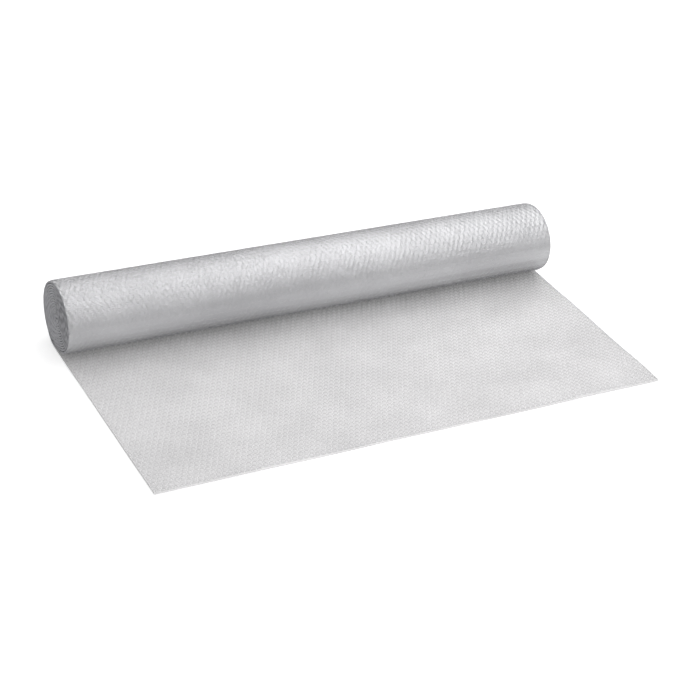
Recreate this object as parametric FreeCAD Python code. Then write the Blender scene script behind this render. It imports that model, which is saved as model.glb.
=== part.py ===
import FreeCAD, Part
import math
import os

from FreeCAD import Vector

# Roll of air bubble film, wound on itself without a core, with its free end laid out flat on the floor
# Millimetres. X runs along the roll, the free end lies towards -Y, and Z is up.
# The origin is on the floor, under the roll's axis, halfway along the roll.

# Driving dimensions: the roll
film_width = 1000.0
roll_height = 135.0
roll_breadth = 145.5
# How wide the soft roll sits on the floor
flat_spot = 35.0
# The hollow in the middle, where the winding began
centre_radius = 6.5
# Air between a turn's bubbles and the turn inside it, under the roll, where it is tightest
turn_gap = 0.5

# Driving dimensions: the free end, from under the roll's axis to the cut edge, which isn't quite square
free_end_left = 488.0
free_end_right = 471.0

# Driving dimensions: the film, a flat backing with rows of bubbles on its inner side
backing = 0.6
bubble_height = 3.4
row_spacing = 10.6
gap_between_rows = 1.0
# How much a bubble's side leans in on its way up, and how far the middle of its top stands above its shoulders
side_lean = 1.1
crown = 0.3

# How tightly the roll bends where it leaves the floor: more is tighter
corner_tightness = 24
# Points a turn that the winding's curve runs through
points_a_turn = 24

film_thickness = backing + bubble_height
turn_pitch = film_thickness + turn_gap
free_end = max(free_end_left, free_end_right)
left_end = -film_width / 2

# The outermost turn comes in by one pitch on its way round, half of it between one side and the other.
# The ellipse that it starts from is that much larger than the roll.
half_breadth = (roll_breadth + turn_pitch) / 2
share_above_floor = math.sqrt(1 - (flat_spot / 2 / half_breadth) ** 2)
top_above_axis = (roll_height + turn_pitch / 2) / (1 + share_above_floor)
axis_height = top_above_axis * share_above_floor


def outer_radius(angle):
    """From the axis to the outside of the roll: an ellipse that turns smoothly into the floor below."""
    ellipse = math.hypot(math.cos(angle) / half_breadth, math.sin(angle) / top_above_axis)
    floor = max(0.0, -math.sin(angle)) / axis_height
    return (ellipse ** corner_tightness + floor ** corner_tightness) ** (-1 / corner_tightness)


def winding_point(turns):
    """On the outside of the film, so many turns in from where the roll touches the floor."""
    touching = math.atan2(-axis_height, flat_spot / 2)
    angle = touching + 2 * math.pi * turns
    radius = outer_radius(angle) * (1 - turns * turn_pitch / axis_height)
    return Vector(left_end, radius * math.cos(angle), axis_height + radius * math.sin(angle))


def winding_curve():
    """The outside of the wound film as one smooth curve, from the floor in to the middle."""
    turns = (axis_height - centre_radius) / turn_pitch
    count = math.ceil(turns * points_a_turn)
    points = [Vector(left_end, flat_spot / 2, 0)]
    for i in range(2, count + 1):
        points.append(winding_point(turns * i / count))
    curve = Part.BSplineCurve()
    back = Vector(0, 1, 0)
    inwards = (points[-1] - points[-2]).normalize()
    curve.interpolate(Points=points, InitialTangent=back, FinalTangent=inwards, Scale=False)
    return curve


class Film:
    """The film's run from its cut edge along the floor and up into the winding, in whole rows of bubbles."""

    def __init__(self):
        self.curve = winding_curve()
        self.laid = free_end + flat_spot / 2
        self.rows = int((self.laid + self.curve.length()) / row_spacing)

    def at(self, distance, height=0.0):
        """The point this far from the cut edge and this high above the film's outside."""
        if distance <= self.laid:
            return Vector(left_end, distance - free_end, height)
        parameter = self.curve.parameterAtDistance(distance - self.laid, self.curve.FirstParameter)
        along = self.curve.tangent(parameter)[0]
        return self.curve.value(parameter) + Vector(0, -along.z, along.y) * height


def bubble_row(film, number):
    """Edges over one row of bubbles and down to the backing, from the row's far side to its near side."""
    near = number * row_spacing
    near_foot = near + gap_between_rows / 2
    far_foot = near + row_spacing - gap_between_rows / 2
    last_foot = max(0.0, near - gap_between_rows / 2)
    shoulder = film_thickness - crown
    places = [
        (far_foot, backing),
        (far_foot - side_lean, shoulder),
        (near + row_spacing / 2, film_thickness),
        (near_foot + side_lean, shoulder),
        (near_foot, backing),
        (last_foot, backing),
    ]
    points = [film.at(distance, height) for distance, height in places]
    return [Part.LineSegment(start, stop).toShape() for start, stop in zip(points, points[1:])]


def backing_stretch(film, start, stop):
    """The film's outside from start to stop, as one round stretch."""
    middle = film.at((start + stop) / 2)
    return Part.Arc(film.at(start), middle, film.at(stop)).toShape()


def film_section():
    """The whole film seen from its left edge, as one closed face."""
    film = Film()
    edges = [Part.LineSegment(film.at(0), film.at(film.laid)).toShape()]
    first_row = int(film.laid / row_spacing) + 1
    starts = [film.laid] + [row * row_spacing for row in range(first_row, film.rows + 1)]
    for start, stop in zip(starts, starts[1:]):
        edges.append(backing_stretch(film, start, stop))
    inner_end = film.rows * row_spacing
    last_foot = inner_end - gap_between_rows / 2
    edges.append(Part.LineSegment(film.at(inner_end), film.at(inner_end, backing)).toShape())
    edges.append(Part.LineSegment(film.at(inner_end, backing), film.at(last_foot, backing)).toShape())
    for number in reversed(range(film.rows)):
        edges.extend(bubble_row(film, number))
    edges.append(Part.LineSegment(film.at(0, backing), film.at(0)).toShape())
    print("film", round(inner_end), "mm long,", film.rows, "rows of bubbles")
    return Part.Face(Part.Wire(edges))


def cut_off_square(film):
    """The free end, cut a little shorter at one side than at the other."""
    under = -film_thickness
    over = 2 * film_thickness
    outside = -free_end - row_spacing
    corners = [
        Vector(left_end, -free_end_left, under),
        Vector(-left_end, -free_end_right, under),
        Vector(-left_end, outside, under),
        Vector(left_end, outside, under),
    ]
    beyond = Part.Face(Part.makePolygon(corners + corners[:1])).extrude(Vector(0, 0, over - under))
    return film.cut(beyond)


def bubble_film():
    """The roll and its free end: one sheet of film, one solid."""
    roll = film_section().extrude(Vector(film_width, 0, 0))
    return cut_off_square(roll)


os.makedirs("parts", exist_ok=True)
shape = bubble_film()
print("valid", shape.isValid(), "solids", len(shape.Solids), "faces", len(shape.Faces))
print("volume", round(shape.Volume), "box", shape.BoundBox)
shape.exportStep("parts/bubble_film.step")
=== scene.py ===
# %% [markdown]
# A roll of air bubble film with its free end laid out
#
# Bubble film is two sheets of clear polyethylene. One stays flat and is called the backing here. The
# other was sucked into rows of small cups and welded to the backing, so each cup holds a little air.
# This lesson winds that film up with its bubbles inwards, and lays the free end out flat, bubbles up.
#
# Everything follows one line: the path that the film takes seen from its end. The backing is a ribbon
# along that line, and the bubbles are one small mesh placed thousands of times along it.

# %% Open the fixed frame
import math
import bmesh
import bpy
from mathutils import Matrix, Vector


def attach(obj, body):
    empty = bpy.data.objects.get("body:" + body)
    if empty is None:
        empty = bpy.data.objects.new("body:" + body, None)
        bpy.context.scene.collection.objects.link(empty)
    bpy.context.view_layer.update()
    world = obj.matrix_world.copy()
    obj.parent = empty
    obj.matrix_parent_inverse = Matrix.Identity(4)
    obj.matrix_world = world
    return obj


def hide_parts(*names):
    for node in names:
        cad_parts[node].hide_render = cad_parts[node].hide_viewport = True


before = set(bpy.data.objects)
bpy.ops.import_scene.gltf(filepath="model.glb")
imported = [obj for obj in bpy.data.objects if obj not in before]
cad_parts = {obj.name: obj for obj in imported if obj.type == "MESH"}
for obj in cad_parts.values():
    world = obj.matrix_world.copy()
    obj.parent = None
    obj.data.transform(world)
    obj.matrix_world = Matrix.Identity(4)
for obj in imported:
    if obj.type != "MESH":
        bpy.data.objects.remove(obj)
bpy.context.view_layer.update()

# %% [markdown]
# Sizes come first, in metres. They are those of the real roll: a web one metre wide, and bubbles about
# ten millimetres across. The free end was cut a little out of square, so it is longer at one side.

# %% Real sizes
MM = 0.001
WIDTH = 1000 * MM
ROLL_HEIGHT = 135 * MM
ROLL_BREADTH = 145.5 * MM
FLAT_SPOT = 35 * MM
CENTRE_RADIUS = 6.5 * MM
FREE_END_LEFT = 488 * MM
FREE_END_RIGHT = 471 * MM
TURN_PITCH = 4.5 * MM
CORNER_TIGHTNESS = 24

BUBBLE_RADIUS = 4.9 * MM
BUBBLE_HEIGHT = 3.8 * MM
ROW_SPACING = 10.6 * MM
COLUMN_SPACING = 10.7 * MM
BUBBLE_LEAN = math.radians(3)
BUBBLE_VARIATION = 0.06

# %% [markdown]
# A soft roll sags a little under its own weight. Its outline is an ellipse, slightly wider than high,
# that turns smoothly into the floor. Each turn lies one film thickness inside the one before, so the
# winding is a spiral whose radius shrinks in step with the angle.

# %% The outline of the roll
HALF_BREADTH = (ROLL_BREADTH + TURN_PITCH) / 2
SHARE_ABOVE_FLOOR = math.sqrt(1 - (FLAT_SPOT / 2 / HALF_BREADTH) ** 2)
TOP_ABOVE_AXIS = (ROLL_HEIGHT + TURN_PITCH / 2) / (1 + SHARE_ABOVE_FLOOR)
AXIS_HEIGHT = TOP_ABOVE_AXIS * SHARE_ABOVE_FLOOR
TOUCHING = math.atan2(-AXIS_HEIGHT, FLAT_SPOT / 2)


def outer_radius(angle):
    """From the roll's axis to its outside: an ellipse that turns smoothly into the floor."""
    ellipse = math.hypot(math.cos(angle) / HALF_BREADTH, math.sin(angle) / TOP_ABOVE_AXIS)
    floor = max(0.0, -math.sin(angle)) / AXIS_HEIGHT
    return (ellipse ** CORNER_TIGHTNESS + floor ** CORNER_TIGHTNESS) ** (-1 / CORNER_TIGHTNESS)


def winding_point(turns):
    """Where the backing is, so many turns in from where the roll touches the floor."""
    angle = TOUCHING + 2 * math.pi * turns
    radius = outer_radius(angle) * (1 - turns * TURN_PITCH / AXIS_HEIGHT)
    return Vector((0, radius * math.cos(angle), AXIS_HEIGHT + radius * math.sin(angle)))


# %% The film's path, from its cut edge along the floor and up into the roll
POINTS_A_TURN = 96
LAID = FREE_END_LEFT + FLAT_SPOT / 2
TURNS = (AXIS_HEIGHT - CENTRE_RADIUS) / TURN_PITCH


def film_path():
    """Points along the backing, close enough together for the sampling to follow the curve."""
    laid_points = 48
    points = [Vector((0, -FREE_END_LEFT + LAID * i / laid_points, 0)) for i in range(laid_points + 1)]
    landing = points[-1]
    count = int(TURNS * POINTS_A_TURN)
    first = POINTS_A_TURN // 12
    start = winding_point(first / POINTS_A_TURN)
    slope = (winding_point((first + 1) / POINTS_A_TURN) - start).normalized()
    reach = (start - landing).length / 2
    for i in range(1, first):
        t = i / first
        a, b, c, d = landing, landing + Vector((0, reach * 0.8, 0)), start - slope * reach * 0.8, start
        points.append(a * (1 - t) ** 3 + b * 3 * t * (1 - t) ** 2 + c * 3 * t * t * (1 - t) + d * t ** 3)
    points += [winding_point(i / POINTS_A_TURN) for i in range(first, count + 1)]
    return points


def path_object(name, points):
    """An open curve through the points, which the trees below sample by length."""
    curve = bpy.data.curves.new(name, "CURVE")
    curve.dimensions = "3D"
    spline = curve.splines.new("POLY")
    spline.points.add(len(points) - 1)
    for spot, place in zip(spline.points, points):
        spot.co = (*place, 1)
    made = bpy.data.objects.new(name, curve)
    bpy.context.scene.collection.objects.link(made)
    return made


path_points = film_path()
path = path_object("film_path", path_points)
path_length = sum((b - a).length for a, b in zip(path_points, path_points[1:]))
print("film is", round(path_length, 3), "m long in", round(TURNS, 1), "turns")

# %% [markdown]
# Node trees are built with one helper. It adds a node, sets its properties, and fills each input with a
# value or with another node's output. A shorter one adds a step of arithmetic. Both serve the modelling
# trees and the materials.

# %% Helpers for nodes and arithmetic, and one that runs trees on a mesh
def add(tree, kind, inputs=None, **settings):
    """A new node, with its settings, and each input filled with a value or another node's output."""
    node = tree.nodes.new(kind)
    for name, value in settings.items():
        setattr(node, name, value)
    for name, value in (inputs or {}).items():
        if isinstance(value, bpy.types.NodeSocket):
            tree.links.new(value, node.inputs[name])
        else:
            node.inputs[name].default_value = value
    return node


def maths(tree, operation, *values, clamp=False):
    """One step of arithmetic on numbers or outputs, and its result."""
    step = add(tree, "ShaderNodeMath", dict(enumerate(values)), operation=operation, use_clamp=clamp)
    return step.outputs[0]


def new_tree(name, sizes):
    """An empty modelling tree with a geometry input, named inputs for its sizes, and a geometry output."""
    tree = bpy.data.node_groups.new(name, "GeometryNodeTree")
    tree.interface.new_socket("Geometry", in_out="INPUT", socket_type="NodeSocketGeometry")
    tree.interface.new_socket("Geometry", in_out="OUTPUT", socket_type="NodeSocketGeometry")
    for label, kind in sizes:
        tree.interface.new_socket(label, in_out="INPUT", socket_type="NodeSocket" + kind)
    return tree, tree.nodes.new("NodeGroupInput").outputs


def finish_tree(tree, geometry, material):
    """Makes the instances real, gives them their material and closes the tree."""
    real = add(tree, "GeometryNodeRealizeInstances", {"Geometry": geometry})
    dressed = add(tree, "GeometryNodeSetMaterial", {"Geometry": real.outputs[0], "Material": material})
    add(tree, "NodeGroupOutput", {"Geometry": dressed.outputs[0]})


def grow(name, mesh, steps):
    """Runs one tree after another on a mesh, and returns the result as a plain mesh object."""
    seed = bpy.data.objects.new(name + "_seed", mesh)
    bpy.context.scene.collection.objects.link(seed)
    for tree, values in steps:
        modifier = seed.modifiers.new(tree.name, "NODES")
        modifier.node_group = tree
        for item in tree.interface.items_tree:
            if item.in_out == "INPUT" and item.name in values:
                modifier[item.identifier] = values[item.name]
    bpy.context.view_layer.update()
    made = bpy.data.meshes.new_from_object(seed.evaluated_get(bpy.context.evaluated_depsgraph_get()))
    bpy.data.objects.remove(seed)
    made.name = name
    piece = bpy.data.objects.new(name, made)
    bpy.context.scene.collection.objects.link(piece)
    made.calc_loop_triangles()
    print(name, len(made.loop_triangles), "triangles")
    return piece


# %% [markdown]
# The first tree lays a flat ribbon along the path. It starts as a grid whose length is distance along
# the film, and each vertex is moved to the place on the path that lies that far from the cut edge.

# %% A ribbon of film along the path
ribbon_tree, size = new_tree(
    "Ribbon along the path",
    [("Path", "Object"), ("From", "Float"), ("To", "Float"), ("Width", "Float"), ("Cut Back", "Float"),
     ("Laid Length", "Float"), ("Columns", "Int"), ("Steps", "Int"), ("Material", "Material")],
)
length = maths(ribbon_tree, "SUBTRACT", size["To"], size["From"])
grid = add(ribbon_tree, "GeometryNodeMeshGrid", {
    "Size X": size["Width"], "Size Y": length, "Vertices X": size["Columns"], "Vertices Y": size["Steps"]})
position = add(ribbon_tree, "GeometryNodeInputPosition").outputs[0]
place = add(ribbon_tree, "ShaderNodeSeparateXYZ", {0: position})
middle = maths(ribbon_tree, "ADD", size["To"], size["From"])
distance = maths(ribbon_tree, "MULTIPLY_ADD", middle, 0.5, place.outputs["Y"])
share = maths(ribbon_tree, "DIVIDE", place.outputs["X"], size["Width"])
share = maths(ribbon_tree, "ADD", share, 0.5)
cut = maths(ribbon_tree, "MULTIPLY", share, size["Cut Back"])
kept = maths(ribbon_tree, "DIVIDE", distance, size["Laid Length"])
kept = maths(ribbon_tree, "SUBTRACT", 1.0, kept, clamp=True)
distance = maths(ribbon_tree, "MULTIPLY_ADD", cut, kept, distance)
route = add(ribbon_tree, "GeometryNodeObjectInfo", {"Object": size["Path"]})
spot = add(ribbon_tree, "GeometryNodeSampleCurve", {
    "Curves": route.outputs["Geometry"], "Length": distance}, mode="LENGTH")
across = add(ribbon_tree, "ShaderNodeCombineXYZ", {"X": place.outputs["X"]})
where = add(ribbon_tree, "ShaderNodeVectorMath", {
    0: spot.outputs["Position"], 1: across.outputs[0]}, operation="ADD")
film_place = add(ribbon_tree, "ShaderNodeCombineXYZ", {"X": place.outputs["X"], "Y": distance})
marked = add(ribbon_tree, "GeometryNodeStoreNamedAttribute", {
    "Geometry": grid.outputs["Mesh"], "Name": "film_place", "Value": film_place.outputs[0]},
    data_type="FLOAT_VECTOR")
laid_out = add(ribbon_tree, "GeometryNodeSetPosition", {
    "Geometry": marked.outputs[0], "Position": where.outputs[0]})
smooth = add(ribbon_tree, "GeometryNodeSetShadeSmooth", {"Geometry": laid_out.outputs[0]})
finish_tree(ribbon_tree, smooth.outputs[0], size["Material"])

# %% [markdown]
# The second tree sets bubbles along the path, in rows across the film. Every other row is shifted by
# half a spacing, which packs the bubbles like honeycomb. Each bubble stands square on the film, apart
# from a small random lean and height, because real bubbles are never quite alike and their glints should
# not be either.

# %% Rows of bubbles along the path
bubble_tree, size = new_tree(
    "Bubbles along the path",
    [("Path", "Object"), ("First Row", "Int"), ("Rows", "Int"), ("Columns", "Int"),
     ("Row Spacing", "Float"), ("Column Spacing", "Float"), ("Cut Back", "Float"), ("Lean", "Float"),
     ("Height Variation", "Float"), ("Seed", "Int"), ("Material", "Material")],
)
count = maths(bubble_tree, "MULTIPLY", size["Rows"], size["Columns"])
points = add(bubble_tree, "GeometryNodePoints", {"Count": count})
index = add(bubble_tree, "GeometryNodeInputIndex").outputs[0]
row = maths(bubble_tree, "DIVIDE", index, size["Columns"])
row = maths(bubble_tree, "FLOOR", row)
row = maths(bubble_tree, "ADD", row, size["First Row"])
column = maths(bubble_tree, "MODULO", index, size["Columns"])
short_row = maths(bubble_tree, "FLOORED_MODULO", row, 2.0)
distance = maths(bubble_tree, "ADD", row, 0.5)
distance = maths(bubble_tree, "MULTIPLY", distance, size["Row Spacing"])
middle = maths(bubble_tree, "SUBTRACT", size["Columns"], 1.0)
middle = maths(bubble_tree, "MULTIPLY", middle, 0.5)
step = maths(bubble_tree, "SUBTRACT", column, middle)
step = maths(bubble_tree, "MULTIPLY_ADD", short_row, 0.5, step)
across = maths(bubble_tree, "MULTIPLY", step, size["Column Spacing"])

# %% Where each bubble stands, and which way it faces
route = add(bubble_tree, "GeometryNodeObjectInfo", {"Object": size["Path"]})
spot = add(bubble_tree, "GeometryNodeSampleCurve", {
    "Curves": route.outputs["Geometry"], "Length": distance}, mode="LENGTH")
sideways = add(bubble_tree, "ShaderNodeCombineXYZ", {"X": across})
where = add(bubble_tree, "ShaderNodeVectorMath", {
    0: spot.outputs["Position"], 1: sideways.outputs[0]}, operation="ADD")
moved = add(bubble_tree, "GeometryNodeSetPosition", {
    "Geometry": points.outputs[0], "Position": where.outputs[0]})
up = add(bubble_tree, "ShaderNodeVectorMath", {
    0: (1, 0, 0), 1: spot.outputs["Tangent"]}, operation="CROSS_PRODUCT")
turned = add(bubble_tree, "FunctionNodeAxesToRotation", {
    "Primary Axis": up.outputs[0], "Secondary Axis": (1, 0, 0)}, primary_axis="Z", secondary_axis="X")

# %% Which places get a bubble: those on the film
share = maths(bubble_tree, "DIVIDE", step, size["Columns"])
share = maths(bubble_tree, "ADD", share, 0.5)
cut = maths(bubble_tree, "MULTIPLY_ADD", share, size["Cut Back"], BUBBLE_RADIUS * 0.4)
on_film = maths(bubble_tree, "GREATER_THAN", distance, cut)
room = maths(bubble_tree, "ADD", middle, 0.25)
in_row = maths(bubble_tree, "LESS_THAN", step, room)
chosen = maths(bubble_tree, "MULTIPLY", on_film, in_row)

# %% Stand a bubble on each chosen place
low = maths(bubble_tree, "MULTIPLY", size["Lean"], -1.0)
low = add(bubble_tree, "ShaderNodeCombineXYZ", {"X": low, "Y": low, "Z": 0.0})
high = add(bubble_tree, "ShaderNodeCombineXYZ", {"X": size["Lean"], "Y": size["Lean"], "Z": math.pi / 4})
lean = add(bubble_tree, "FunctionNodeRandomValue", {
    0: low.outputs[0], 1: high.outputs[0], "Seed": size["Seed"]}, data_type="FLOAT_VECTOR")
leaning = add(bubble_tree, "FunctionNodeEulerToRotation", {0: lean.outputs[0]})
facing = add(bubble_tree, "FunctionNodeRotateRotation", {
    "Rotation": turned.outputs[0], "Rotate By": leaning.outputs[0]}, rotation_space="LOCAL")
least = maths(bubble_tree, "SUBTRACT", 1.0, size["Height Variation"])
most = maths(bubble_tree, "ADD", 1.0, size["Height Variation"])
tall = add(bubble_tree, "FunctionNodeRandomValue", {
    2: least, 3: most, "Seed": size["Seed"]}, data_type="FLOAT")
scale = add(bubble_tree, "ShaderNodeCombineXYZ", {"X": 1.0, "Y": 1.0, "Z": tall.outputs[1]})
placed = add(bubble_tree, "GeometryNodeInstanceOnPoints", {
    "Points": moved.outputs[0], "Selection": chosen, "Instance": size["Geometry"],
    "Rotation": facing.outputs[0], "Scale": scale.outputs[0]})
finish_tree(bubble_tree, placed.outputs[0], size["Material"])

# %% [markdown]
# The knife that cuts bubble film to size goes straight through the bubbles. The outermost ones are cut
# off with a plane in the same way. What is left of their sides stands along the cut as a low wavy wall,
# and on the ends of the roll those walls are what the eye sees: they nearly close the space between one
# turn and the next.

# %% Cut a piece off along straight edges
def cut_off(piece, planes):
    """Cuts away what lies beyond each plane, given as a point on it and the direction that goes."""
    mesh = bmesh.new()
    mesh.from_mesh(piece.data)
    for point, outwards in planes:
        everything = mesh.verts[:] + mesh.edges[:] + mesh.faces[:]
        bmesh.ops.bisect_plane(
            mesh, geom=everything, dist=1e-7, plane_co=point, plane_no=outwards, clear_outer=True)
    mesh.to_mesh(piece.data)
    mesh.free()


# %% [markdown]
# On the real film this wall is what the knife leaves of a row of bubbles. Here it is a strip along the
# path, with its lower edge on the backing, as high as a cut bubble. It waves in and out once in every
# two rows, because every other row is shifted. Cutting real bubbles at both ends of every turn would
# take many thousands of faces for an edge that is under four millimetres high.

# %% A wall of cut bubbles along a path
wall_tree, size = new_tree(
    "Wall of cut bubbles",
    [("Path", "Object"), ("From", "Float"), ("To", "Float"), ("Height", "Float"), ("Across", "Vector"),
     ("Offset", "Float"), ("Inwards", "Float"), ("Row Spacing", "Float"), ("Steps", "Int"),
     ("Material", "Material")],
)
length = maths(wall_tree, "SUBTRACT", size["To"], size["From"])
grid = add(wall_tree, "GeometryNodeMeshGrid", {
    "Size X": size["Height"], "Size Y": length, "Vertices X": 2, "Vertices Y": size["Steps"]})
position = add(wall_tree, "GeometryNodeInputPosition").outputs[0]
place = add(wall_tree, "ShaderNodeSeparateXYZ", {0: position})
middle = maths(wall_tree, "ADD", size["To"], size["From"])
distance = maths(wall_tree, "MULTIPLY_ADD", middle, 0.5, place.outputs["Y"])
height = maths(wall_tree, "MULTIPLY_ADD", size["Height"], 0.5, place.outputs["X"])
route = add(wall_tree, "GeometryNodeObjectInfo", {"Object": size["Path"]})
spot = add(wall_tree, "GeometryNodeSampleCurve", {
    "Curves": route.outputs["Geometry"], "Length": distance}, mode="LENGTH")
up = add(wall_tree, "ShaderNodeVectorMath", {
    0: size["Across"], 1: spot.outputs["Tangent"]}, operation="CROSS_PRODUCT")
raised = add(wall_tree, "ShaderNodeVectorMath", {
    0: up.outputs[0], 1: height, 2: spot.outputs["Position"]}, operation="MULTIPLY_ADD")
turn = maths(wall_tree, "DIVIDE", distance, size["Row Spacing"])
turn = maths(wall_tree, "MULTIPLY_ADD", turn, math.pi, -math.pi / 2)
wave = maths(wall_tree, "COSINE", turn)
wave = maths(wall_tree, "MULTIPLY_ADD", wave, -0.5, 0.5)
aside = maths(wall_tree, "MULTIPLY_ADD", wave, size["Inwards"], size["Offset"])
where = add(wall_tree, "ShaderNodeVectorMath", {
    0: size["Across"], 1: aside, 2: raised.outputs[0]}, operation="MULTIPLY_ADD")
moved = add(wall_tree, "GeometryNodeSetPosition", {
    "Geometry": grid.outputs["Mesh"], "Position": where.outputs[0]})
smooth = add(wall_tree, "GeometryNodeSetShadeSmooth", {"Geometry": moved.outputs[0]})
finish_tree(wall_tree, smooth.outputs[0], size["Material"])

# %% [markdown]
# The ends of a soft roll are pressed a little as it is handled, so its rims are rounded. The next tree
# draws the last millimetres of every turn in towards the roll's axis, by the same share for each turn,
# so none meets the next.

# %% Rounded ends
soft_tree, size = new_tree(
    "Rounded ends",
    [("Width", "Float"), ("Reach", "Float"), ("Squeeze", "Float"), ("Axis Height", "Float")])
position = add(soft_tree, "GeometryNodeInputPosition").outputs[0]
place = add(soft_tree, "ShaderNodeSeparateXYZ", {0: position})
from_middle = maths(soft_tree, "ABSOLUTE", place.outputs["X"])
half = maths(soft_tree, "MULTIPLY", size["Width"], 0.5)
start = maths(soft_tree, "SUBTRACT", half, size["Reach"])
near = add(soft_tree, "ShaderNodeMapRange", {
    "Value": from_middle, "From Min": start, "From Max": half})
near = maths(soft_tree, "POWER", near.outputs[0], 2.0)
pull = maths(soft_tree, "MULTIPLY", near, size["Squeeze"])
axis = add(soft_tree, "ShaderNodeCombineXYZ", {"X": place.outputs["X"], "Z": size["Axis Height"]})
inwards = add(soft_tree, "ShaderNodeVectorMath", {0: axis.outputs[0], 1: position}, operation="SUBTRACT")
offset = add(soft_tree, "ShaderNodeVectorMath", {0: inwards.outputs[0], "Scale": pull}, operation="SCALE")
drawn_in = add(soft_tree, "GeometryNodeSetPosition", {
    "Geometry": size["Geometry"], "Offset": offset.outputs[0]})
add(soft_tree, "NodeGroupOutput", {"Geometry": drawn_in.outputs[0]})

# %% [markdown]
# A sheet of film never lies quite flat on a floor. The last tree lifts the laid-out film in long, low
# ripples. It reads only where a point is, so it lifts the backing and the bubbles on it by the same
# amount.

# %% Low ripples in the laid-out film
ripple_tree, size = new_tree(
    "Low ripples",
    [("Height", "Float"), ("Wave Length", "Float"), ("Fade Start", "Float"), ("Fade End", "Float")])
position = add(ripple_tree, "GeometryNodeInputPosition").outputs[0]
stretched = add(ripple_tree, "ShaderNodeVectorMath", {
    0: position, 1: (0.55, 1.0, 0.0)}, operation="MULTIPLY")
fine = maths(ripple_tree, "DIVIDE", 1.0, size["Wave Length"])
wave = add(ripple_tree, "ShaderNodeTexNoise", {
    "Vector": stretched.outputs[0], "Scale": fine, "Detail": 1.0})
along = add(ripple_tree, "ShaderNodeSeparateXYZ", {0: position}).outputs["Y"]
fade = add(ripple_tree, "ShaderNodeMapRange", {
    "Value": along, "From Min": size["Fade Start"], "From Max": size["Fade End"],
    "To Min": 0.0, "To Max": 1.0},
    interpolation_type="SMOOTHSTEP")
lift = add(ripple_tree, "ShaderNodeMapRange", {
    "Value": wave.outputs[0], "From Min": 0.35, "From Max": 0.75, "To Min": 0.0, "To Max": 1.0},
    interpolation_type="SMOOTHSTEP")
lift = maths(ripple_tree, "MULTIPLY", lift.outputs[0], fade.outputs[0])
lift = maths(ripple_tree, "MULTIPLY", lift, size["Height"])
upwards = add(ripple_tree, "ShaderNodeCombineXYZ", {"Z": lift})
lifted = add(ripple_tree, "GeometryNodeSetPosition", {
    "Geometry": size["Geometry"], "Offset": upwards.outputs[0]})
add(ripple_tree, "NodeGroupOutput", {"Geometry": lifted.outputs[0]})

# %% [markdown]
# Polyethylene film is clear but never quite colourless. One layer is faintly milky and very glossy.
# Where many layers lie on each other their small reflections add up, and the roll looks silvery grey.

# %% Colours and the film's finishes
def linear(hex_colour):
    """An sRGB colour as hex, turned to the linear values that the shader takes."""
    channels = [int(hex_colour[i:i + 2], 16) / 255 for i in (1, 3, 5)]
    return (*[c / 12.92 if c <= 0.04045 else ((c + 0.055) / 1.055) ** 2.4 for c in channels], 1.0)


def waves(millimetres):
    """The scale that gives a noise texture lumps of this size, as so many to a metre."""
    return 1000 / millimetres


def cloudy(tree, dark, pale, scale):
    """A colour that drifts between two greys, as the milkiness of film does."""
    object_place = add(tree, "ShaderNodeTexCoord").outputs["Object"]
    cloud = add(tree, "ShaderNodeTexNoise", {"Vector": object_place, "Scale": scale, "Detail": 3.0})
    spread = add(tree, "ShaderNodeMapRange", {
        "Value": cloud.outputs["Fac"], "From Min": 0.35, "From Max": 0.65})
    mix = add(tree, "ShaderNodeMix", {
        "Factor": spread.outputs[0], 6: linear(dark), 7: linear(pale)}, data_type="RGBA")
    return mix.outputs[2]


def new_material(name):
    """An empty material and its node tree."""
    material = bpy.data.materials.new(name)
    material.use_nodes = True
    material.node_tree.nodes.clear()
    return material, material.node_tree


def plain_film(name, dark, pale, alpha, roughness, metallic, wrinkle):
    """Film with fine wrinkles: cloudy between two greys."""
    # Real wrinkles are finer than a pixel here, so they are drawn as coarse as they need to show
    material, tree = new_material(name)
    drawn = add(tree, "ShaderNodeMapping", {
        "Vector": add(tree, "ShaderNodeTexCoord").outputs["Object"],
        "Scale": (waves(11.11), waves(3.333), waves(3.333))})
    grain = add(tree, "ShaderNodeTexNoise", {"Vector": drawn.outputs[0], "Scale": 1.0, "Detail": 2.0})
    bump = add(tree, "ShaderNodeBump", {
        "Strength": 1.0, "Distance": wrinkle, "Height": grain.outputs["Fac"]})
    shader = add(tree, "ShaderNodeBsdfPrincipled", {
        "Base Color": cloudy(tree, dark, pale, waves(111.1)), "Roughness": roughness, "Metallic": metallic,
        "IOR": 1.5, "Alpha": alpha, "Normal": bump.outputs[0]})
    add(tree, "ShaderNodeOutputMaterial", {"Surface": shader.outputs[0]})
    return material


PILLOWS_RISE_FROM = 60 * MM
PILLOWS_FULL_FROM = 110 * MM
LOW_PILLOWS = 0.3
LEFT_PILLOWS = 1.4
FOLDS_START = 50 * MM
FOLDS_FULL = 300 * MM
FOLDS_BELOW = 116 * MM
FOLDS_FULL_BELOW = 98 * MM
FOLD_STRENGTH = 2.4


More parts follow.
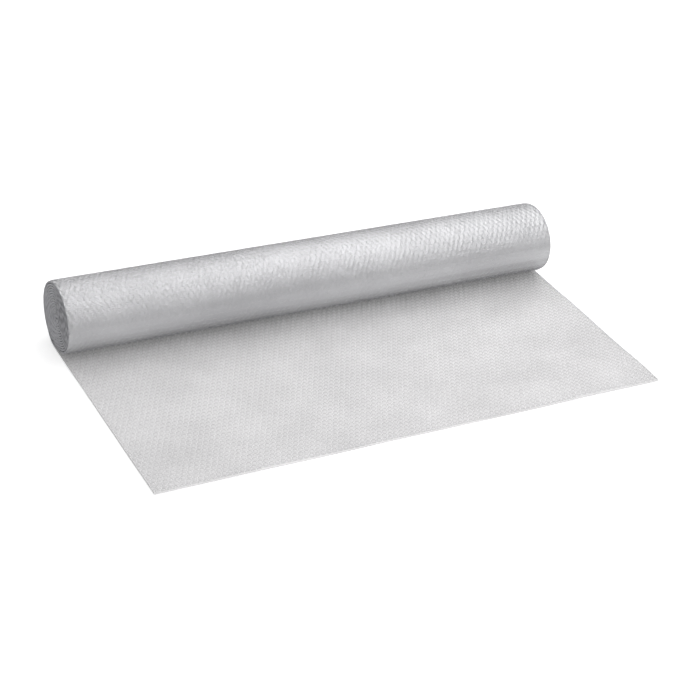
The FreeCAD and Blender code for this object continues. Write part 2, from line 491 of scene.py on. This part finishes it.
def pillowed_film(name, dark, pale, alpha, roughness, metallic, pillow):
    """The backing's outer side on the roll. Each bubble behind it swells it into a low pillow."""
    material, tree = new_material(name)
    film_place = add(tree, "ShaderNodeAttribute", attribute_name="film_place").outputs["Vector"]
    place = add(tree, "ShaderNodeSeparateXYZ", {0: film_place})
    column = maths(tree, "MULTIPLY", place.outputs["X"], 2 * math.pi / COLUMN_SPACING)
    column = maths(tree, "COSINE", column)
    row = maths(tree, "MULTIPLY", place.outputs["Y"], math.pi / ROW_SPACING)
    row = maths(tree, "SINE", row)
    swell = maths(tree, "MULTIPLY", column, row)
    # Over every two bubbles or so the film is looser or tauter, so no two pillows are alike
    loose = add(tree, "ShaderNodeTexNoise", {"Vector": film_place, "Scale": waves(22.22), "Detail": 2.0})
    loose = maths(tree, "MULTIPLY", loose.outputs["Fac"], 1.2)
    swell = maths(tree, "MULTIPLY", swell, loose)
    # Short slanting creases run between the pillows, where the film is pulled from one to the next
    drawn = add(tree, "ShaderNodeMapping", {
        "Vector": film_place, "Scale": (waves(3.333), waves(1.7857), 1), "Rotation": (0, 0, 0.6)})
    crease = add(tree, "ShaderNodeTexNoise", {"Vector": drawn.outputs[0], "Scale": 1.0, "Detail": 1.0})
    height = maths(tree, "MULTIPLY_ADD", crease.outputs["Fac"], 2.6, swell)
    spot = add(tree, "ShaderNodeSeparateXYZ", {0: add(tree, "ShaderNodeTexCoord").outputs["Object"]})
    # The pillows show most on top of the roll, and more so at its left end, as in the photograph
    pressed = add(tree, "ShaderNodeMapRange", {
        "Value": spot.outputs["Z"], "From Min": PILLOWS_RISE_FROM, "From Max": PILLOWS_FULL_FROM,
        "To Min": LOW_PILLOWS, "To Max": 1.0},
        interpolation_type="SMOOTHSTEP")
    handled = add(tree, "ShaderNodeMapRange", {
        "Value": spot.outputs["X"], "From Min": -WIDTH / 2, "From Max": 0.0,
        "To Min": LEFT_PILLOWS, "To Max": 1.0})
    pressed = maths(tree, "MULTIPLY", pressed.outputs[0], handled.outputs[0])
    height = maths(tree, "MULTIPLY", height, pressed)
    # Long fine folds run along the roll near its right end, on its sides
    folded = add(tree, "ShaderNodeMapping", {"Vector": film_place, "Scale": (waves(833.3), waves(5.263), 1)})
    folds = add(tree, "ShaderNodeTexNoise", {"Vector": folded.outputs[0], "Scale": 1.0, "Detail": 0.0})
    tight_end = add(tree, "ShaderNodeMapRange", {
        "Value": spot.outputs["X"], "From Min": FOLDS_START, "From Max": FOLDS_FULL,
        "To Min": 0.0, "To Max": 1.0})
    tight_side = add(tree, "ShaderNodeMapRange", {
        "Value": spot.outputs["Z"], "From Min": FOLDS_BELOW, "From Max": FOLDS_FULL_BELOW,
        "To Min": 0.0, "To Max": FOLD_STRENGTH})
    tight = maths(tree, "MULTIPLY", tight_end.outputs[0], tight_side.outputs[0])
    height = maths(tree, "MULTIPLY_ADD", folds.outputs["Fac"], tight, height)
    bump = add(tree, "ShaderNodeBump", {"Strength": 1.0, "Distance": pillow, "Height": height})
    shader = add(tree, "ShaderNodeBsdfPrincipled", {
        "Base Color": cloudy(tree, dark, pale, waves(166.7)), "Roughness": roughness, "Metallic": metallic,
        "IOR": 1.5, "Specular Tint": (0.2, 0.2, 0.2, 1), "Alpha": alpha, "Normal": bump.outputs[0]})
    add(tree, "ShaderNodeOutputMaterial", {"Surface": shader.outputs[0]})
    return material


# Extruded backing in one layer over the floor: milky, with a little of the floor's white showing through
laid_film = plain_film(
    "polyethylene_film_extruded", "#DEDDDE", "#E8E7E8", 0.76, 0.35, 0.0, 0.1 * MM)
# Cups formed by vacuum: their walls are drawn so thin that little more than their soft glints show
laid_cups = plain_film(
    "polyethylene_cups_vacuum_formed", "#DEDDDE", "#E8E7E8", 0.24, 0.3, 0.0, 0.1 * MM)
# Extruded backing wound over bubbles: silvery, with a glint and a dip at each bubble
wound_film = pillowed_film(
    "polyethylene_film_wound_on_bubbles", "#CECED0", "#DCDCDE", 0.9, 0.22, 0.5, 0.7 * MM)
# Film with many wound layers behind it: no longer clear, an even cool grey with a dull sheen
deep_film = plain_film(
    "polyethylene_film_wound_in_layers", "#BCBCC0", "#CACACE", 1.0, 0.4, 0.1, 0.1 * MM)

# %% [markdown]
# The bubble itself is a short drum with a soft crown. Eight sides and three rings are enough, because it
# is only ten millimetres across and is repeated thousands of times.

# %% One bubble
def drum(name, profile, sides):
    """A small cup, open below: rings of (radius, height), the last closed by a point on the axis."""
    made = bmesh.new()
    rings = []
    for radius, height in profile[:-1]:
        ring = []
        for i in range(sides):
            angle = 2 * math.pi * i / sides
            ring.append(made.verts.new((radius * math.cos(angle), radius * math.sin(angle), height)))
        rings.append(ring)
    for lower, upper in zip(rings, rings[1:]):
        for i in range(sides):
            made.faces.new((lower[i], lower[(i + 1) % sides], upper[(i + 1) % sides], upper[i]))
    crown = made.verts.new((0, 0, profile[-1][1]))
    for i in range(sides):
        made.faces.new((rings[-1][i], rings[-1][(i + 1) % sides], crown))
    for face in made.faces:
        face.smooth = True
    mesh = bpy.data.meshes.new(name)
    made.to_mesh(mesh)
    made.free()
    return mesh


bubble_mesh = drum("one_bubble", [
    (BUBBLE_RADIUS, 0.0),
    (BUBBLE_RADIUS * 0.93, BUBBLE_HEIGHT * 0.62),
    (BUBBLE_RADIUS * 0.62, BUBBLE_HEIGHT * 0.95),
    (0.0, BUBBLE_HEIGHT),
], 8)

# %% [markdown]
# The real film is one piece. Here its backing is three ribbons, because the three parts are seen
# differently: laid out, on the outside of the roll, and as the edges of the turns inside. The inner
# turns show only their ends, so three points across are enough and no bubbles stand on them.

# %% The film's pieces
COLUMNS = int(WIDTH / COLUMN_SPACING) + 2
CUT_BACK = FREE_END_LEFT - FREE_END_RIGHT
LAID_ROWS = int(LAID / ROW_SPACING)
OUTER_ROWS = int(math.pi * (ROLL_HEIGHT + ROLL_BREADTH) / 2 / ROW_SPACING) + 3
OUTER_END = (LAID_ROWS + OUTER_ROWS) * ROW_SPACING
no_mesh = bpy.data.meshes.new("no_mesh")


def ribbon(name, start, stop, columns, steps, material, more=()):
    """The backing from one distance to another along the path."""
    values = {"Path": path, "From": start, "To": stop, "Width": WIDTH, "Cut Back": CUT_BACK,
              "Laid Length": LAID, "Columns": columns, "Steps": steps, "Material": material}
    return grow(name, no_mesh, [(ribbon_tree, values), *more])


def bubbles(name, first, rows, material, more=()):
    """Rows of bubbles on the film, counted from its cut edge."""
    values = {"Path": path, "First Row": first, "Rows": rows, "Columns": COLUMNS,
              "Row Spacing": ROW_SPACING, "Column Spacing": COLUMN_SPACING, "Cut Back": CUT_BACK,
              "Lean": BUBBLE_LEAN, "Height Variation": BUBBLE_VARIATION, "Seed": first + 7,
              "Material": material}
    return grow(name, bubble_mesh, [(bubble_tree, values), *more])


ripples = [(ripple_tree, {
    "Height": 2.5 * MM, "Wave Length": 160 * MM, "Fade Start": -85 * MM, "Fade End": -160 * MM})]
soft_ends = [(soft_tree, {"Width": WIDTH, "Reach": 8 * MM, "Squeeze": 0.025, "Axis Height": AXIS_HEIGHT})]
laid_backing = ribbon("laid_backing", 0.0, LAID, 101, 51, laid_film, ripples)
outer_backing = ribbon("outer_backing", LAID, OUTER_END, 251, 140, wound_film, soft_ends)
inner_backing = ribbon("inner_backing", OUTER_END, path_length, 3, 900, deep_film, soft_ends)
laid_bubbles = bubbles("laid_bubbles", 0, LAID_ROWS, laid_cups, ripples)
wound_bubbles = bubbles("wound_bubbles", LAID_ROWS, OUTER_ROWS, deep_film, soft_ends)

left_edge = (Vector((-WIDTH / 2, 0, 0)), Vector((-1, 0, 0)))
right_edge = (Vector((WIDTH / 2, 0, 0)), Vector((1, 0, 0)))
front_edge = (Vector((-WIDTH / 2, -FREE_END_LEFT, 0)), Vector((CUT_BACK, -WIDTH, 0)).normalized())
cut_off(laid_bubbles, [left_edge, right_edge, front_edge])
cut_off(wound_bubbles, [left_edge, right_edge])

# %% The walls along the cuts
WALL_HEIGHT = 3.4 * MM
WALL_WAVE = 0.8 * MM
HEART = 2 * math.pi * (CENTRE_RADIUS + TURN_PITCH)
SIDE = Vector((1, 0, 0))


def wall(name, route, start, stop, across, offset, inwards, spacing, material, more=(), height=WALL_HEIGHT):
    """A strip of cut bubbles along a path, with four points to a row."""
    steps = int((stop - start) / (ROW_SPACING / 4))
    values = {"Path": route, "From": start, "To": stop, "Height": height, "Across": across,
              "Offset": offset, "Inwards": inwards, "Row Spacing": spacing, "Steps": steps,
              "Material": material}
    return grow(name, no_mesh, [(wall_tree, values), *more])


corners = [Vector((-WIDTH / 2, -FREE_END_LEFT, 0)), Vector((WIDTH / 2, -FREE_END_RIGHT, 0))]
front_path = path_object("front_cut", corners)
front_length = (corners[1] - corners[0]).length
walls = [wall("front_wall", front_path, 0.0, front_length, -Vector((0, 1, 0)), 0.0, 0.0, COLUMN_SPACING,
              laid_film, ripples)]
for label, side in (("left", -1), ("right", 1)):
    start = CUT_BACK if side > 0 else 0.0
    walls.append(wall(label + "_wall", path, start, LAID, SIDE, side * WIDTH / 2, 0.0, ROW_SPACING,
                      laid_film, ripples))
    walls.append(wall(label + "_end", path, LAID, path_length, SIDE, side * WIDTH / 2,
                      -side * WALL_WAVE, ROW_SPACING, deep_film, soft_ends))
    walls.append(wall(label + "_heart", path, path_length - HEART, path_length, SIDE,
                      side * (WIDTH / 2 - WALL_WAVE), 0.0, ROW_SPACING, deep_film, soft_ends, CENTRE_RADIUS))


def join(name, parts):
    """One mesh object of several, each keeping its own material."""
    bpy.ops.object.select_all(action="DESELECT")
    for part in parts:
        part.select_set(True)
    bpy.context.view_layer.objects.active = parts[0]
    bpy.ops.object.join()
    parts[0].name = name
    return parts[0]


film_backing = join("film_backing", [laid_backing, outer_backing, inner_backing])
cut_edges = join("cut_edges", walls)

# %% The film on the frame
for piece in (film_backing, laid_bubbles, wound_bubbles, cut_edges):
    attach(piece, "root")
    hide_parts("bubble_film")

# %% [markdown]
# The floor and the light. The picture's background is white, so the floor and the world are white for
# the camera. For all other light the floor stays plain and pale, so it keeps the film's shadow.
#
# In mirror images the floor glows only faintly, and the world is dim low down and bright overhead. That
# keeps the roll's outline grey and its highlight on top. The front softbox shows no mirror image of
# itself.

# %% Floor and background
for route in (path, front_path):
    bpy.data.objects.remove(route)

FLOOR_GLOW = 0.6
FAR_FLOOR_GLOW = 0.82
MIRRORED_FLOOR = 0.15
ROOM_LEVEL = 0.48
# A little below the film, so the two never share a plane
FLOOR_HEIGHT = -0.4 * MM
FLOOR_SIZE = 60


def seen_directly(tree, mirrored=1.0):
    """1 for the camera and through clear film, a share for a mirror image, and 0 for other light."""
    ray = add(tree, "ShaderNodeLightPath").outputs
    image = maths(tree, "MULTIPLY", ray["Is Glossy Ray"], mirrored)
    seen = maths(tree, "MAXIMUM", ray["Is Camera Ray"], image)
    return maths(tree, "MAXIMUM", seen, ray["Is Transmission Ray"])


floor_finish, tree = new_material("pale_floor")
matt = add(tree, "ShaderNodeBsdfDiffuse", {"Color": linear("#D8D8D8")})
floor_place = add(tree, "ShaderNodeTexCoord").outputs["Object"]
away = add(tree, "ShaderNodeVectorMath", {0: floor_place}, operation="LENGTH")
glow = add(tree, "ShaderNodeMapRange", {
    "Value": away.outputs["Value"], "From Min": 1.0, "From Max": 4.0,
    "To Min": FLOOR_GLOW, "To Max": FAR_FLOOR_GLOW})
strength = maths(tree, "MULTIPLY", seen_directly(tree, MIRRORED_FLOOR), glow.outputs[0])
white = add(tree, "ShaderNodeEmission", {"Color": (1, 1, 1, 1), "Strength": strength})
both = add(tree, "ShaderNodeAddShader", {0: matt.outputs[0], 1: white.outputs[0]})
add(tree, "ShaderNodeOutputMaterial", {"Surface": both.outputs[0]})

bpy.ops.mesh.primitive_plane_add(size=FLOOR_SIZE, location=(0, 0, FLOOR_HEIGHT))
floor = bpy.context.object
floor.name = "floor"
floor.data.materials.append(floor_finish)

world = bpy.data.worlds.new("studio")
bpy.context.scene.world = world
world.use_nodes = True
tree = world.node_tree
tree.nodes.clear()
direction = add(tree, "ShaderNodeTexCoord").outputs["Generated"]
towards = add(tree, "ShaderNodeVectorMath", {0: direction, 1: (0.1, 0.1, 0.95)}, operation="DOT_PRODUCT")
dim_back = add(tree, "ShaderNodeMapRange", {
    "Value": towards.outputs["Value"], "From Min": 0.38, "From Max": 0.6, "To Min": 0.08, "To Max": 1.0},
    interpolation_type="SMOOTHSTEP")
ray = add(tree, "ShaderNodeLightPath").outputs
mirrored = add(tree, "ShaderNodeMapRange", {
    "Value": ray["Is Glossy Ray"], "To Min": 1.0, "To Max": dim_back.outputs[0]})
shown = add(tree, "ShaderNodeMapRange", {"Value": seen_directly(tree), "To Min": ROOM_LEVEL, "To Max": 1.0})
level = maths(tree, "MULTIPLY", shown.outputs[0], mirrored.outputs[0])
room = add(tree, "ShaderNodeBackground", {"Color": (1, 1, 1, 1), "Strength": level})
add(tree, "ShaderNodeOutputWorld", {"Surface": room.outputs[0]})


# %% Soft lamps
def soft_lamp(name, place, aim, size, watts):
    """A rectangular softbox that faces the point it aims at."""
    lamp = bpy.data.lights.new(name, "AREA")
    lamp.shape = "RECTANGLE"
    lamp.size, lamp.size_y = size
    lamp.energy = watts
    made = bpy.data.objects.new(name, lamp)
    made.location = place
    made.rotation_euler = (Vector(aim) - Vector(place)).to_track_quat("-Z", "Y").to_euler()
    bpy.context.scene.collection.objects.link(made)
    return made


soft_lamp("softbox_above", (0.9, -1.05, 1.9), (0.9, -1.05, 0), (2.6, 1.7), 12)
soft_lamp("softbox_behind", (0.8, 1.05, 1.9), (0.8, 1.05, 0), (2.6, 2.2), 31)
front = soft_lamp("softbox_front", (-0.1, -2.4, 0.3), (0.05, 0, 0.04), (1.2, 0.5), 20)
front.visible_glossy = False

# %% The camera, as the photograph was taken
CAMERA_AROUND = math.radians(-28.55)
CAMERA_UP = math.radians(30.48)
CAMERA_ROLL = math.radians(4.64)
CAMERA_FAR = 3624 * MM
CAMERA_AIM = Vector((8.5 * MM, -178 * MM, 0))
FOCAL_PIXELS = 1953
FRAME_PIXELS = 700
SENSOR = 36

back = Vector((
    math.sin(CAMERA_AROUND) * math.cos(CAMERA_UP),
    -math.cos(CAMERA_AROUND) * math.cos(CAMERA_UP),
    math.sin(CAMERA_UP)))
right = Vector((math.cos(CAMERA_AROUND), math.sin(CAMERA_AROUND), 0))
upward = back.cross(right)
turned_right = right * math.cos(CAMERA_ROLL) + upward * math.sin(CAMERA_ROLL)
turned_up = upward * math.cos(CAMERA_ROLL) - right * math.sin(CAMERA_ROLL)
lens = bpy.data.cameras.new("camera")
lens.lens = FOCAL_PIXELS / FRAME_PIXELS * SENSOR
lens.sensor_width = SENSOR
lens.clip_end = 100
camera = bpy.data.objects.new("camera", lens)
camera.matrix_world = Matrix.Translation(CAMERA_AIM + back * CAMERA_FAR) @ Matrix(
    (turned_right, turned_up, back)).transposed().to_4x4()
bpy.context.scene.collection.objects.link(camera)
bpy.context.scene.camera = camera
bpy.context.scene.view_settings.view_transform = "Standard"
